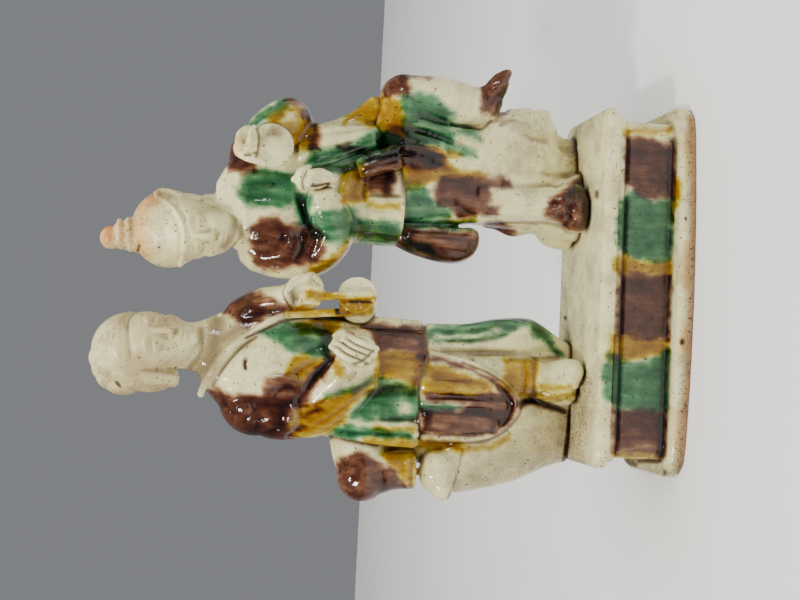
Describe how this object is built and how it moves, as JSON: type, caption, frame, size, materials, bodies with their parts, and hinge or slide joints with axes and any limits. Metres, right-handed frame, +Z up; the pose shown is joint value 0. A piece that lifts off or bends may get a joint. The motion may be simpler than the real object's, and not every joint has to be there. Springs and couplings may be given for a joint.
{
  "type": "musician figure group",
  "caption": "Porcelain group of dancing musicians under green, amber and brown glazes, each on one leg against a rock, on a stepped rectangular plinth.",
  "frame": {"origin": "middle of the plinth's underside, on the table", "axes": "+Z up, the figures face -Y, the lady stands at -X and the man at +X"},
  "size_m": [0.1078, 0.0382, 0.1428],
  "materials": {
    "glazed_porcelain": "glossy cream glaze with green, amber and aubergine brown patches; heads and hands thinly glazed"
  },
  "bodies": {
    "root": {"musician_figure_group": "glazed_porcelain"}
  },
  "joints": []
}
